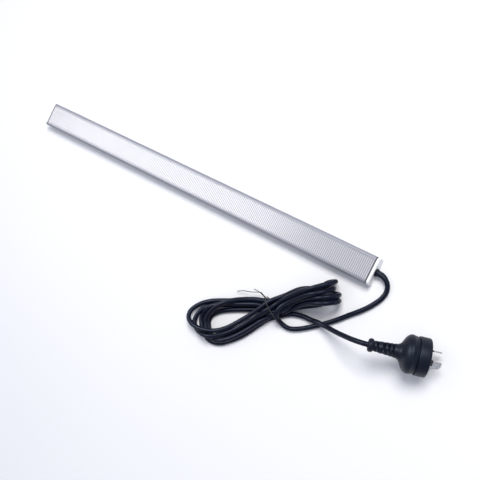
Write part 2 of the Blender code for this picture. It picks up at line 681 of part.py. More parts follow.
def make_looks():
    looks = {}
    looks["aluminium"] = material("anodised_aluminium", (0.52, 0.52, 0.55), 0.34, 1.0)
    looks["lens"] = material("frosted_lens", (0.86, 0.86, 0.89), 0.35)
    looks["cap"] = material("white_cap_plastic", (0.88, 0.88, 0.88), 0.4)
    looks["gasket"] = material("gasket_rubber", (0.12, 0.12, 0.14), 0.7)
    looks["board_white"] = material("white_board", (0.86, 0.87, 0.86), 0.5)
    looks["phosphor"] = material("led_phosphor", (0.85, 0.72, 0.25), 0.45)
    looks["tray"] = material("insulating_film", (0.8, 0.8, 0.78), 0.5)
    looks["board_green"] = material("driver_board_green", (0.03, 0.2, 0.08), 0.45)
    looks["package"] = material("black_package", (0.02, 0.02, 0.022), 0.5)
    looks["fuse"] = material("fuse_ceramic", (0.6, 0.5, 0.35), 0.4)
    looks["can"] = material("capacitor_sleeve", (0.05, 0.06, 0.12), 0.35)
    looks["tinned"] = material("tinned_copper", (0.7, 0.7, 0.68), 0.35, 1.0)
    looks["steel"] = material("screw_steel", (0.6, 0.6, 0.6), 0.3, 1.0)
    looks["nickel"] = material("pin_metal", (0.7, 0.69, 0.66), 0.28, 1.0)
    looks["sleeve"] = material("pin_sleeve", (0.02, 0.02, 0.022), 0.45)
    looks["rubber"] = material("black_pvc", (0.022, 0.024, 0.032), 0.5)
    looks["tie"] = material("tie_wire", (0.03, 0.03, 0.035), 0.5)
    looks["brown"] = material("brown_insulation", (0.16, 0.06, 0.03), 0.45)
    looks["blue"] = material("blue_insulation", (0.03, 0.12, 0.5), 0.45)
    looks["earth"] = material("green_yellow_insulation", (0.25, 0.5, 0.06), 0.45)
    looks["red"] = material("red_insulation", (0.5, 0.03, 0.03), 0.45)
    looks["black"] = material("black_insulation", (0.02, 0.02, 0.02), 0.45)
    return looks


clear_scene()
EMPTY_GROUP = bpy.data.collections.new("no_second_shape")
looks = make_looks()
make_housing(looks)
make_ends(looks)
make_strain_relief(looks)
make_led_board(looks)
driver_deck = make_driver(looks)
make_wires(looks, driver_deck)
make_earth_point(looks)
make_cord(looks)
make_tie(looks)
make_plug(looks)
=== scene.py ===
"""LED light bar on a pale floor: camera, cord and hank, detailed pieces, materials and light."""

import math

import bmesh
import bpy
import numpy as np
from mathutils import Matrix, Vector


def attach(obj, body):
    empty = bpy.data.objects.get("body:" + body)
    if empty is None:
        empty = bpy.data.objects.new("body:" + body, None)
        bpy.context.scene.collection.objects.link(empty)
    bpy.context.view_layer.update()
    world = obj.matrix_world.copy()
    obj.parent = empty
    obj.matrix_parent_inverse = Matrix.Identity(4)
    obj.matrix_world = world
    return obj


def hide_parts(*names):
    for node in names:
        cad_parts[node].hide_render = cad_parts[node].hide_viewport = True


MM = 0.001
BODY = "root"

# Camera
CAMERA_PLACE = (0.462, -0.009, 0.733)
CAMERA_AZIMUTH, CAMERA_ELEVATION, CAMERA_ROLL = 94.1, 63.0, -67.3
CAMERA_LENS = 52.5

# Light
SKY_COLOUR, SKY_STRENGTH = (0.82, 0.87, 1.0, 1.0), 0.51
KEY_PLACE, KEY_AIM = (0.45, 1.05, 1.98), (0.17, -0.08, 0)
KEY_SIZE, KEY_POWER, KEY_COLOUR = (0.95, 0.95), 41, (1.0, 0.985, 0.96)
STRIP_PLACE, STRIP_AIM = (-0.72, 0.0, 1.0), (-0.1, 0, 0.0)
STRIP_SIZE, STRIP_POWER, STRIP_COLOUR = (0.38, 0.8), 16, (1.0, 1.0, 1.0)
FLOOR_DROP = 0.2 * MM

# Bar, as in the CAD
PROFILE_LENGTH = 500 * MM
PROFILE_WIDTH = 31.5 * MM
PROFILE_HEIGHT = 14 * MM
SHOULDER_RADIUS = 3.6 * MM
FOOT_RADIUS = 2 * MM
MOUTH_HALF = 12 * MM
CAP_FACE = 254.6 * MM
CAP_THICK = 3.2 * MM
CAP_EDGE = 0.8 * MM
BUSH_HOLE = 3.8 * MM
WALL = 1.6 * MM
LINE_HEIGHTS = (5.2 * MM, 6.0 * MM)
LINE_DEPTH = 0.12 * MM
# The channel's inside from the mouth down, as half widths and heights in millimetres.
CHANNEL_STEPS = ((12, 12.9), (13, 12.9), (13, 11.7), (10.9, 11.7), (10.9, 9.9))
LEDGE = ((12.6, 8.3), (12.6, 7.3))
EXIT_HEIGHT = 7 * MM

# Lens
RIB_PITCH = 2.3 * MM
GROOVE_DEPTH = 0.35 * MM
# Lens outline below its lip, across the lip and down to the ribs, as half widths and heights in millimetres.
LENS_FOOT = ((10.7, 12.0), (12.7, 12.0), (12.7, 12.6), (11.7, 12.6))
LENS_LIP = ((11.7, 13.8), (11.45, 14.0), (11.0, 14.0), (10.85, 13.9), (10.6, 13.8), (10.4, 13.8))
RIB_HALF = 10.35 * MM
# One rib, as shares of the pitch and of the groove's depth.
RIB_SECTION = ((0.0, 1.0), (0.10, 0.10), (0.14, 0.0), (0.86, 0.0), (0.90, 0.10))

# Cord
CORD_DIAMETER = 5.5 * MM
CORD_RADIUS = CORD_DIAMETER / 2
CORD_SHEEN = (0.70, 0.80, 1.0, 1.0)
BUSH_END = 259.4 * MM
STUB = 2 * MM
# The bush's collar, as distances past the cap and radii in millimetres.
BUSH_COLLAR = (
    (-0.4, 3.4), (-0.1, 3.5), (0, 4.2), (0.25, 4.6), (0.7, 4.7), (1.1, 4.5), (1.6, 4.1), (2.3, 3.75),
    (3.2, 3.5),
)
ROUTE_STEP = 3 * MM
HELD_START, HELD_END = 36, 24

# Wire tie
WAIST_CENTRE = (166.5, -86.3, 0)
WAIST_ACROSS = (0.846, -0.533, 0)
TIE_WIRE = 0.5 * MM
TWIST_ANGLE = 140
TWIST_LENGTH = 8 * MM
TWIST_LEAN = (-0.85, 0.30, 0.05)
TIE_TAILS = (
    ((-6, -2.5, -1), (-13, -5.5, -2.5), (-24, -9, -5.5), (-31, -13, -8)),
    ((-4, 0.5, 0.8), (-8.5, 0.5, 1.5)),
)

# Plug
PLUG_CENTRE = Vector((0.3434, -0.0537, 0.0182))
PLUG_HEADING, PLUG_DIP, PLUG_ROLL = 15.2, 22.4, -30
PLUG_RADIUS = 19.7 * MM
PLUG_FACE_THICK = 11.5 * MM
PLUG_LENGTH = 57 * MM
PLUG_COLLAR = 3 * MM
PIN_WIDTH, PIN_THICK = 6.35 * MM, 1.63 * MM
LINE_PIN_LENGTH, EARTH_PIN_LENGTH = 13 * MM, 15.5 * MM
SLEEVE_LENGTH = 4 * MM
BOOT_SLOTS = ((6.3, 1.8), (12.6, 2.6), (17.6, 2.4), (21.8, 1.8))
SLOT_FACING = 122
SLOT_DEPTH = 4.3
SLOT_START, SLOT_FADE = 0.38, 0.08
# Each line pin's and the earth pin's place on the face, across and up, and its slant in degrees.
PIN_PLACES = (("live", -6.86, 3.96, -30), ("neutral", 6.86, 3.96, 30), ("earth", 0.0, -10.31, 0))


# ---------------------------------------------------------------- materials

class Look:
    """A node material with one Principled shader, built up by small steps."""

    def __init__(self, name, colour, roughness, metallic=0.0, **more):
        self.material = bpy.data.materials.new(name)
        self.material.use_nodes = True
        self.tree = self.material.node_tree
        self.shader = self.tree.nodes["Principled BSDF"]
        self.colour = colour
        self.set("Base Color", (*colour, 1.0))
        self.set("Roughness", roughness)
        self.set("Metallic", metallic)
        for socket, value in more.items():
            self.set(socket.replace("_", " "), value)

    def set(self, socket, value):
        self.shader.inputs[socket].default_value = value

    def node(self, kind, **inputs):
        made = self.tree.nodes.new(kind)
        for name, value in inputs.items():
            made.inputs[name.replace("_", " ")].default_value = value
        return made

    def link(self, source, target):
        self.tree.links.new(source, target)

    def noise(self, scale, detail=4.0, stretch=(1.0, 1.0, 1.0), roughness=0.55):
        place = self.node("ShaderNodeTexCoord")
        mapping = self.node("ShaderNodeMapping", Scale=stretch)
        self.link(place.outputs["Object"], mapping.inputs["Vector"])
        noise = self.node("ShaderNodeTexNoise", Scale=scale, Detail=detail, Roughness=roughness)
        self.link(mapping.outputs["Vector"], noise.inputs["Vector"])
        return noise.outputs["Fac"]

    def spread(self, source, low, high):
        ramp = self.node("ShaderNodeMapRange", From_Min=0.3, From_Max=0.7, To_Min=low, To_Max=high)
        self.link(source, ramp.inputs["Value"])
        return ramp.outputs["Result"]

    def vary_roughness(self, source, low, high):
        self.link(self.spread(source, low, high), self.shader.inputs["Roughness"])
        return self

    def vary_colour(self, source, other, low=0.0, high=1.0):
        mix = self.tree.nodes.new("ShaderNodeMix")
        mix.data_type = "RGBA"
        for socket in mix.inputs:
            if socket.type == "RGBA" and socket.name in ("A", "B"):
                socket.default_value = (*(self.colour if socket.name == "A" else other), 1.0)
        self.link(self.spread(source, low, high), mix.inputs["Factor"])
        result = [socket for socket in mix.outputs if socket.type == "RGBA"][0]
        self.link(result, self.shader.inputs["Base Color"])
        return self

    def painted_groove_shade(self, pitch, wide, start, colour):
        """Painted shade: lines of a darker second colour across X, one every pitch from a start, where the
        lens's rib grooves lie.
        """
        place = self.node("ShaderNodeTexCoord")
        split = self.node("ShaderNodeSeparateXYZ")
        self.link(place.outputs["Object"], split.inputs["Vector"])
        shift = self.node("ShaderNodeMath")
        shift.operation = "SUBTRACT"
        self.link(split.outputs["X"], shift.inputs[0])
        shift.inputs[1].default_value = start
        away = self.node("ShaderNodeMath")
        away.operation = "PINGPONG"
        self.link(shift.outputs["Value"], away.inputs[0])
        away.inputs[1].default_value = pitch / 2
        share = self.node("ShaderNodeMapRange", From_Min=wide * 0.4, From_Max=wide * 0.6)
        self.link(away.outputs["Value"], share.inputs["Value"])
        mix = self.tree.nodes.new("ShaderNodeMix")
        mix.data_type = "RGBA"
        ends = [socket for socket in mix.inputs if socket.type == "RGBA"]
        ends[0].default_value = (*colour, 1.0)
        self.link(self.shader.inputs["Base Color"].links[0].from_socket, ends[1])
        self.link(share.outputs["Result"], mix.inputs["Factor"])
        result = [socket for socket in mix.outputs if socket.type == "RGBA"][0]
        self.link(result, self.shader.inputs["Base Color"])
        return self

    def bump(self, source, strength, distance):
        bump = self.node("ShaderNodeBump", Strength=strength, Distance=distance)
        before = self.shader.inputs["Normal"].links
        if before:
            self.link(before[0].from_socket, bump.inputs["Normal"])
        self.link(source, bump.inputs["Height"])
        self.link(bump.outputs["Normal"], self.shader.inputs["Normal"])
        return self


def aluminium_look():
    metal = Look("anodised_aluminium", (0.31, 0.315, 0.36), 0.46, 0.35)
    lines = metal.noise(900, 3, (0.02, 1.0, 1.0))
    metal.bump(lines, 0.12, 0.0001)
    metal.vary_roughness(metal.noise(60, 4, (0.2, 1.0, 1.0)), 0.43, 0.50)
    metal.vary_colour(metal.noise(25, 3, (0.1, 1.0, 1.0)), (0.34, 0.345, 0.39), 0.0, 0.8)
    return metal


def lens_look():
    lens = Look("frosted_lens", (0.53, 0.53, 0.57), 0.24)
    lens.vary_roughness(lens.noise(300, 3), 0.235, 0.265)
    lens.vary_colour(lens.noise(18, 3), (0.55, 0.55, 0.59), 0.0, 0.8)
    pitch = PROFILE_LENGTH / round(PROFILE_LENGTH / RIB_PITCH)
    # Painted shade: a darker line along each rib groove of the lens.
    lens.painted_groove_shade(pitch, 0.8 * MM, -PROFILE_LENGTH / 2, (0.31, 0.31, 0.35))
    lens.bump(lens.noise(1800, 2), 0.05, 0.00005)
    return lens


def cap_look():
    cap = Look("white_cap_plastic", (0.88, 0.88, 0.89), 0.38)
    cap.bump(cap.noise(1400, 3), 0.08, 0.00006)
    cap.vary_roughness(cap.noise(220, 3), 0.34, 0.46)
    cap.vary_colour(cap.noise(60, 3), (0.82, 0.82, 0.84), 0.0, 0.6)
    return cap


def gasket_look():
    gasket = Look("gasket_rubber", (0.09, 0.09, 0.11), 0.65)
    gasket.bump(gasket.noise(900, 3), 0.15, 0.0001)
    gasket.vary_colour(gasket.noise(200, 3), (0.06, 0.06, 0.08))
    return gasket


def cord_look():
    sheen = {"Specular_IOR_Level": 0.22, "Specular_Tint": CORD_SHEEN}
    cord = Look("cord_pvc", (0.0025, 0.0035, 0.012), 0.38, **sheen)
    cord.bump(cord.noise(700, 4), 0.12, 0.0001)
    cord.vary_roughness(cord.noise(90, 4), 0.32, 0.44)
    cord.vary_colour(cord.noise(45, 4), (0.004, 0.006, 0.017))
    return cord


def plug_look():
    sheen = {"Specular_IOR_Level": 0.25, "Specular_Tint": CORD_SHEEN}
    plug = Look("plug_pvc", (0.003, 0.0045, 0.011), 0.42, **sheen)
    plug.bump(plug.noise(1100, 4), 0.14, 0.0001)
    plug.vary_roughness(plug.noise(120, 4), 0.36, 0.52)
    plug.vary_colour(plug.noise(70, 4), (0.006, 0.009, 0.018))
    return plug


def tie_look():
    tie = Look("tie_wire_coat", (0.02, 0.02, 0.026), 0.5)
    tie.bump(tie.noise(2500, 2), 0.2, 0.0001)
    tie.vary_roughness(tie.noise(400, 2), 0.42, 0.6)
    return tie


def pin_look():
    pin = Look("pin_metal", (0.80, 0.79, 0.78), 0.27, 1.0)
    pin.bump(pin.noise(1500, 3, (0.1, 1.0, 1.0)), 0.1, 0.00005)
    pin.vary_roughness(pin.noise(300, 3), 0.22, 0.36)
    pin.vary_colour(pin.noise(150, 3), (0.70, 0.69, 0.68))
    return pin


def sleeve_look():
    sleeve = Look("pin_sleeve", (0.02, 0.021, 0.026), 0.4)
    sleeve.vary_roughness(sleeve.noise(500, 3), 0.34, 0.5)
    sleeve.bump(sleeve.noise(1500, 2), 0.08, 0.00005)
    return sleeve


# Colour, roughness, metallic and second colour of each piece inside the bar.
INNER_LOOKS = {
    "board_white": ((0.84, 0.85, 0.84), 0.42, 0.0, (0.78, 0.79, 0.78)),
    "phosphor": ((0.85, 0.70, 0.22), 0.4, 0.0, (0.78, 0.62, 0.18)),
    "tray": ((0.78, 0.78, 0.76), 0.45, 0.0, (0.72, 0.72, 0.70)),
    "board_green": ((0.03, 0.19, 0.08), 0.4, 0.0, (0.02, 0.13, 0.06)),
    "package": ((0.02, 0.02, 0.022), 0.5, 0.0, (0.035, 0.035, 0.037)),
    "fuse": ((0.60, 0.50, 0.35), 0.35, 0.0, (0.52, 0.43, 0.30)),
    "can": ((0.05, 0.06, 0.12), 0.32, 0.0, (0.04, 0.05, 0.09)),
    "tinned": ((0.70, 0.70, 0.68), 0.34, 1.0, (0.60, 0.60, 0.58)),
    "steel": ((0.60, 0.60, 0.60), 0.3, 1.0, (0.50, 0.50, 0.50)),
    "brown": ((0.16, 0.06, 0.03), 0.42, 0.0, (0.12, 0.045, 0.02)),
    "blue": ((0.03, 0.12, 0.50), 0.42, 0.0, (0.025, 0.09, 0.4)),
    "earth": ((0.25, 0.50, 0.06), 0.42, 0.0, (0.60, 0.55, 0.06)),
    "red": ((0.50, 0.03, 0.03), 0.42, 0.0, (0.40, 0.02, 0.02)),
    "black": ((0.02, 0.02, 0.02), 0.42, 0.0, (0.03, 0.03, 0.03)),
}


def inner_look(name, colour, roughness, metallic, other):
    look = Look("inner_" + name, colour, roughness, metallic)
    look.vary_colour(look.noise(400, 3), other)
    look.bump(look.noise(1500, 2), 0.08, 0.00006)
    return look


def make_looks():
    looks = {
        "aluminium": aluminium_look(),
        "lens": lens_look(),
        "cap": cap_look(),
        "gasket": gasket_look(),
        "cord": cord_look(),
        "plug": plug_look(),
        "tie": tie_look(),
        "pin": pin_look(),
        "sleeve": sleeve_look(),
    }
    for name, values in INNER_LOOKS.items():
        looks[name] = inner_look(name, *values)
    return looks


# ---------------------------------------------------------------- mesh helpers

def add_object(name, data, look):
    made = bpy.data.objects.new(name, data)
    bpy.context.scene.collection.objects.link(made)
    if look is not None:
        made.data.materials.append(look.material)
    return made


def finish_mesh(name, shape, look, angle=35, smooth=True):
    bmesh.ops.recalc_face_normals(shape, faces=shape.faces)
    mesh = bpy.data.meshes.new(name)
    shape.to_mesh(mesh)
    shape.free()
    if smooth:
        mesh.shade_smooth()
        mesh.set_sharp_from_angle(angle=math.radians(angle))
    return add_object(name, mesh, look)


def arc(centre, radius, start, end, steps):
    points = []
    for step in range(steps + 1):
        angle = math.radians(start + (end - start) * step / steps)
        points.append((centre[0] + radius * math.cos(angle), centre[1] + radius * math.sin(angle)))
    return points


def both_sides(half):
    other = [(-across, up) for across, up in reversed(half) if across > 1e-9]
    return half + other


def loft(rings):
    """Joins rings of points, all of one count, into a closed skin."""
    shape = bmesh.new()
    made = [[shape.verts.new(point) for point in ring] for ring in rings]
    count = len(made[0])
    for first, second in zip(made, made[1:]):
        for step in range(count):
            after = (step + 1) % count
            shape.faces.new((first[step], first[after], second[after], second[step]))
    shape.faces.new(made[0])
    shape.faces.new(list(reversed(made[-1])))
    return shape


def turned(profile, steps):
    """A skin of revolution about X from (distance, radius) points."""
    rings = []
    for distance, radius in profile:
        ring = []
        for step in range(steps):
            angle = 2 * math.pi * step / steps
            ring.append((distance, radius * math.cos(angle), radius * math.sin(angle)))
        rings.append(ring)
    return loft(rings)


# ---------------------------------------------------------------- camera and light

def make_camera():
    azimuth = math.radians(CAMERA_AZIMUTH)
    elevation = math.radians(CAMERA_ELEVATION)
    roll = math.radians(CAMERA_ROLL)
    flat = math.cos(elevation)
    back = Vector((math.sin(azimuth) * flat, -math.cos(azimuth) * flat, math.sin(elevation)))
    level = Vector((math.cos(azimuth), math.sin(azimuth), 0))
    raised = back.cross(level)
    right = level * math.cos(roll) + raised * math.sin(roll)
    up = raised * math.cos(roll) - level * math.sin(roll)
    data = bpy.data.cameras.new("camera")
    data.lens = CAMERA_LENS
    data.sensor_width = 36
    data.clip_start = 0.01
    camera = bpy.data.objects.new("camera", data)
    bpy.context.scene.collection.objects.link(camera)
    turn = Matrix((right, up, back)).transposed()
    camera.matrix_world = Matrix.Translation(CAMERA_PLACE) @ turn.to_4x4()
    bpy.context.scene.camera = camera


def area_light(name, place, aim, size, power, colour, gloss_only=False):
    data = bpy.data.lights.new(name, "AREA")
    data.shape = "RECTANGLE"
    data.size, data.size_y = size
    data.energy = power
    data.color = colour
    light = bpy.data.objects.new(name, data)
    bpy.context.scene.collection.objects.link(light)
    light.location = place
    light.rotation_euler = (Vector(aim) - Vector(place)).to_track_quat("-Z", "Y").to_euler()
    light.visible_diffuse = not gloss_only


def make_stage():
    shape = bmesh.new()
    bmesh.ops.create_grid(shape, x_segments=1, y_segments=1, size=4)
    look = Look("floor_white", (0.93, 0.93, 0.95), 0.6)
    look.vary_colour(look.noise(3, 2), (0.94, 0.94, 0.96))
    floor = finish_mesh("floor", shape, look, smooth=False)
    floor.location = (0, 0, -FLOOR_DROP)
    world = bpy.context.scene.world or bpy.data.worlds.new("world")
    bpy.context.scene.world = world
    world.use_nodes = True
    sky = world.node_tree.nodes["Background"]
    sky.inputs["Color"].default_value = SKY_COLOUR
    sky.inputs["Strength"].default_value = SKY_STRENGTH
    area_light("key", KEY_PLACE, KEY_AIM, KEY_SIZE, KEY_POWER, KEY_COLOUR)
    area_light("strip", STRIP_PLACE, STRIP_AIM, STRIP_SIZE, STRIP_POWER, STRIP_COLOUR, gloss_only=True)
    bpy.context.scene.view_settings.view_transform = "Standard"


# ---------------------------------------------------------------- cord

# Stations along the cord's centreline, in millimetres, from the bar towards the plug. Most of the hank's
# were picked in the photo at guessed heights, and a separate program turned them into millimetres.
LEAD_IN = (
    (266.5, -2.0, 6.2), (271.2, -6.4, 5.0), (273.2, -13.0, 3.8), (271.8, -21.5, 3.0),
    (266.0, -32.5, 2.85), (258.0, -43.0, 2.8), (248.2, -53.6, 2.8), (239.3, -63.4, 2.8),
    (229.0, -73.4, 2.8), (218.2, -82.7, 2.8), (208.0, -90.5, 2.8), (198.5, -96.2, 2.8),
    (190.5, -98.4, 2.8),
)
LEAD_IN_TO_HANK = ((186, -97, 3.2), (179, -94.5, 7), (178.5, -88.5, 12.2))
LEAD_OUT_FROM_HANK = (
    (181, -87, 3.4), (189, -82.5, 3.2), (198, -79.5, 3), (206.5, -78, 3), (215.5, -77.5, 4),
)
LEAD_OUT = (
    (219.0, -76.2, 7.6), (227.0, -75.8, 9.8), (234.5, -75.4, 12.4), (243.0, -75.0, 17.2),
    (253.0, -74.3, 23.5), (263.0, -73.1, 30.2), (273.0, -71.7, 36.3),
)
# The hank's runs A to E: from the waist to the far end, round the lobe there, and back to the waist.
LOWER_RUN = {
    "A": ((161, -85.5, 13.5), (153.5, -97.5, 12.5), (146.5, -108.5, 11.5), (138.5, -120, 11.5),
          (130.5, -131, 12), (121, -139.5, 13)),
    "B": ((166, -91.5, 13.3), (157, -103, 11.3), (149.5, -113.5, 9.8), (141.5, -125, 9.6),
          (132.5, -135.5, 10.5), (123, -144.5, 11.8)),
    "C": ((166, -95.5, 8.2), (157.5, -107, 4.5), (150, -117.5, 3.2), (142.5, -129.5, 3),
          (132.5, -140.5, 3), (122.5, -149, 3)),
    "D": ((166.5, -97.5, 5.4), (161, -108, 8), (154.5, -118.5, 8.3), (146.5, -130, 8.3),
          (137, -141, 8.3), (126.5, -149, 8)),
    "E": ((167.5, -99.5, 3.9), (160, -110.5, 2.8), (154, -122, 2.8), (146, -133.5, 2.8),
          (136, -144, 2.8), (126, -152, 2.8)),
}
LOBE = {
    "A": ((112, -144, 13.6), (100.5, -147.5, 13.2), (90, -148, 12.2), (81.5, -146, 9.5),
          (76.5, -142, 7.5), (75.5, -136, 6), (78.5, -129, 4.5), (84, -121.5, 3.2)),
    "B": ((115, -150, 12.2), (104.5, -152, 9.5), (97, -152, 7.8), (90.5, -149, 6.8),
          (86, -145, 6.2), (85, -139, 5.8), (86.5, -132.5, 5.2), (90, -126, 4.2)),
    "C": ((116, -149.5, 2.8), (110, -147, 2.8), (106, -143.5, 2.8), (103, -139.5, 2.8),
          (101, -136, 2.8), (101, -131.5, 2.8), (102.5, -127.5, 2.8), (106, -123, 2.8)),
    "D": ((118, -150.5, 6.5), (111, -149, 6.2), (106, -145.5, 6.2), (103, -141.5, 6.8),
          (100.5, -136.5, 7.8), (100, -131, 9.2), (101.5, -126, 10.4), (104.5, -120, 11.4)),
    "E": ((115.5, -155.5, 2.8), (108.5, -154.5, 2.8), (102.5, -151, 2.8), (97.5, -147, 2.8),
          (93, -141.5, 2.8), (90.5, -136, 3), (91, -130, 3.2), (94.5, -123.5, 3.5)),
}
UPPER_RUN = {
    "A": ((94, -114.5, 2.8), (111.5, -106, 2.8), (129, -95.5, 2.8), (145, -88, 3.3)),
    "B": ((97, -117.5, 3), (113, -108.5, 2.8), (131.5, -100, 2.8), (147.5, -92.5, 3.3)),
    "C": ((111, -118.5, 2.8), (121, -112, 2.8), (135.5, -104, 2.8), (149, -96.5, 2.9)),
    "D": ((109, -113, 12.2), (116, -105, 12.5), (131.5, -94, 9.5), (147, -86.5, 9)),
    "E": ((99.5, -118, 4.5), (115, -107.5, 8), (133.5, -98.5, 8.3), (149, -91, 8.6)),
}
WAIST_UNDER = {
    "A": (157.5, -82, 3.9), "B": (163, -85, 3.9), "C": (167.5, -87.5, 3.9), "D": (159, -82.5, 8.8),
    "E": (165, -86, 8.8),
}
WAIST_OVER = {
    "A": (164, -81, 13.8), "B": (169.5, -86, 13.8), "C": (172.5, -89.5, 8.9), "D": (172.5, -91, 5),
}
# From the waist up to each standing fold, and back along the floor under it.
RISE = {
    "inner": ((170, -74, 14), (178, -66.5, 16.5), (185.5, -58.5, 19.5), (194.5, -51, 23)),
    "first": ((172, -80.5, 14), (179.5, -71.5, 17), (187.5, -63.5, 21.5), (196.5, -54.5, 26.5)),
    "second": ((178.5, -83, 13), (183, -74.5, 15.5), (190.5, -65.5, 20), (201.5, -56.5, 26)),
    "third": ((180.5, -85, 9.5), (185, -78, 12.5), (191, -69, 16.5), (202, -60, 23.5)),
    "fourth": ((181, -85.5, 6.5), (186.5, -78.5, 9.5), (194, -71.5, 14), (205.5, -63, 22)),
}
FLOOR_RUN = (
    ((206, -43.5, 2.8), (213.5, -58, 2.8)), ((195, -53, 2.8), (202, -66, 2.8)),
    ((185.5, -64.5, 2.8), (190.5, -74, 2.8)), ((175.5, -76, 2.8), (178.5, -81.5, 2.8)),
)
INNER_FLOOR_RUN = ((196, -51, 8.4), (186, -62, 8.4), (176.5, -73.5, 8.4))
# Each fold's tip across the floor, its heading in degrees, its radius and its lowest centreline.
FOLD = {
    "inner": ((214.5, -36.1), 38.8, 9.8, 8.0),
    "first": ((222.8, -28.1), 38.8, 15.2, 2.8),
    "second": ((224.2, -36.1), 37.7, 15.2, 2.8),
    "third": ((232.9, -39.1), 28.8, 15.2, 2.8),
    "fourth": ((235.7, -45.0), 27.7, 15.2, 2.8),
}
FOLD_SHARE = {"first": 0, "second": 1 / 3, "third": 2 / 3, "fourth": 1}
FOLD_LEAN = 13
# The fold that each turn goes through, and the run it takes to the far end and back.
TURNS = (("second", "B"), ("first", "A"), ("inner", "D"), ("fourth", "C"), ("third", "E"))
FLOOR_GAP = 0.05 * MM
RELAX_ROUNDS = 500


def stations(rows):
    return [np.array(row, dtype=float) * MM for row in rows]


def fold(name):
    """Round a standing fold, from the high run to the low one."""
    tip, heading, radius, low = FOLD[name]
    heading, lean = math.radians(heading), math.radians(FOLD_LEAN)
    ahead = np.array((math.cos(heading), math.sin(heading), 0))
    sideways = math.sin(lean)
    rise = np.array((math.sin(heading) * sideways, -math.cos(heading) * sideways, math.cos(lean)))
    centre = np.array((*tip, low + radius * math.cos(lean))) - ahead * radius
    points = []
    for step in range(5):
        angle = math.radians(90 - 45 * step)
        points.append((centre + radius * (ahead * math.cos(angle) + rise * math.sin(angle))) * MM)
    return points


def floor_run(name):
    if name == "inner":
        return stations(INNER_FLOOR_RUN)
    share = FOLD_SHARE[name]
    points = []
    for first, last in FLOOR_RUN:
        points.append((np.array(first) * (1 - share) + np.array(last) * share) * MM)
    return points


def hank_anchors():
    """The turns of the hank, from the lead-in's arrival to the lead-out's departure."""
    anchors = []
    for name, run in TURNS:
        anchors += stations(RISE[name]) + fold(name) + floor_run(name)
        anchors += stations((WAIST_UNDER[run], *reversed(UPPER_RUN[run])))
        anchors += stations((*reversed(LOBE[run]), *reversed(LOWER_RUN[run])))
        if run in WAIST_OVER:
            anchors += stations((WAIST_OVER[run],))
    return anchors


def plug_point(along):
    heading, dip = math.radians(PLUG_HEADING), math.radians(PLUG_DIP)
    axis = np.array((math.cos(heading) * math.cos(dip), math.sin(heading) * math.cos(dip), -math.sin(dip)))
    return np.array(PLUG_CENTRE) + axis * along


def smooth_route(anchors, step):
    """Even points along a centripetal curve through the anchors."""
    knots = [2 * anchors[0] - anchors[1], *anchors, 2 * anchors[-1] - anchors[-2]]
    fine = []
    for index in range(1, len(knots) - 2):
        p0, p1, p2, p3 = knots[index - 1:index + 3]
        t1 = np.linalg.norm(p1 - p0) ** 0.5
        t2 = t1 + np.linalg.norm(p2 - p1) ** 0.5
        t3 = t2 + np.linalg.norm(p3 - p2) ** 0.5
        for part in range(20):
            t = t1 + (t2 - t1) * part / 20
            a1 = p0 * ((t1 - t) / t1) + p1 * (t / t1)
            a2 = p1 * ((t2 - t) / (t2 - t1)) + p2 * ((t - t1) / (t2 - t1))
            a3 = p2 * ((t3 - t) / (t3 - t2)) + p3 * ((t - t2) / (t3 - t2))
            b1 = a1 * ((t2 - t) / t2) + a2 * (t / t2)
            b2 = a2 * ((t3 - t) / (t3 - t1)) + a3 * ((t - t1) / (t3 - t1))
            fine.append(b1 * ((t2 - t) / (t2 - t1)) + b2 * ((t - t1) / (t2 - t1)))
    fine.append(knots[-2])
    return resampled(np.array(fine), step)


def resampled(points, step):
    reach = np.concatenate([[0], np.cumsum(np.linalg.norm(np.diff(points, axis=0), axis=1))])
    marks = np.linspace(0, reach[-1], round(reach[-1] / step) + 1)
    return np.stack([np.interp(marks, reach, points[:, axis]) for axis in range(3)], axis=1)


def touching_pairs(points):
    """Points of different runs that are near enough to meet."""
    away = np.linalg.norm(points[:, None] - points[None], axis=2)
    first, second = np.nonzero(away < 2 * CORD_DIAMETER)
    apart = second - first > 7
    return first[apart], second[apart]


def relaxed(points, held_start, held_end):
    """Pushes runs apart to a cord's width, keeps them on the floor, even and smooth."""
    home = points.copy()
    count = len(points)
    step = np.linalg.norm(np.diff(points, axis=0), axis=1).mean()
    free = np.ones(count)
    free[:held_start] = 0
    free[count - held_end:] = 0
    lowest = CORD_RADIUS + FLOOR_GAP
    for turn in range(RELAX_ROUNDS):
        if turn % 10 == 0:
            first, second = touching_pairs(points)
        move = np.zeros_like(points)
        apart = points[first] - points[second]
        gap = np.linalg.norm(apart, axis=1) + 1e-9
        push = apart / gap[:, None] * np.clip(CORD_DIAMETER * 1.015 - gap, 0, None)[:, None] * 0.3
        np.add.at(move, first, push)
        np.add.at(move, second, -push)
        ahead = np.diff(points, axis=0)
        pull = ahead * (0.25 * (1 - step / np.linalg.norm(ahead, axis=1)))[:, None]
        move[:-1] += pull
        move[1:] -= pull
        bend = np.zeros_like(points)
        bend[1:-1] = (points[:-2] + points[2:]) / 2 - points[1:-1]
        move[2:-2] += 0.2 * (bend[2:-2] - (bend[1:-3] + bend[3:-1]) / 2)
        back = home - points
        move[:, :2] += 0.05 * back[:, :2]
        move[:, 2] += (0.05 * (1 - turn / RELAX_ROUNDS) ** 2 + 0.004) * back[:, 2]
        points = points + free[:, None] * move
        points[:, 2] = np.maximum(points[:, 2], np.where(free > 0, lowest, points[:, 2]))
    return points


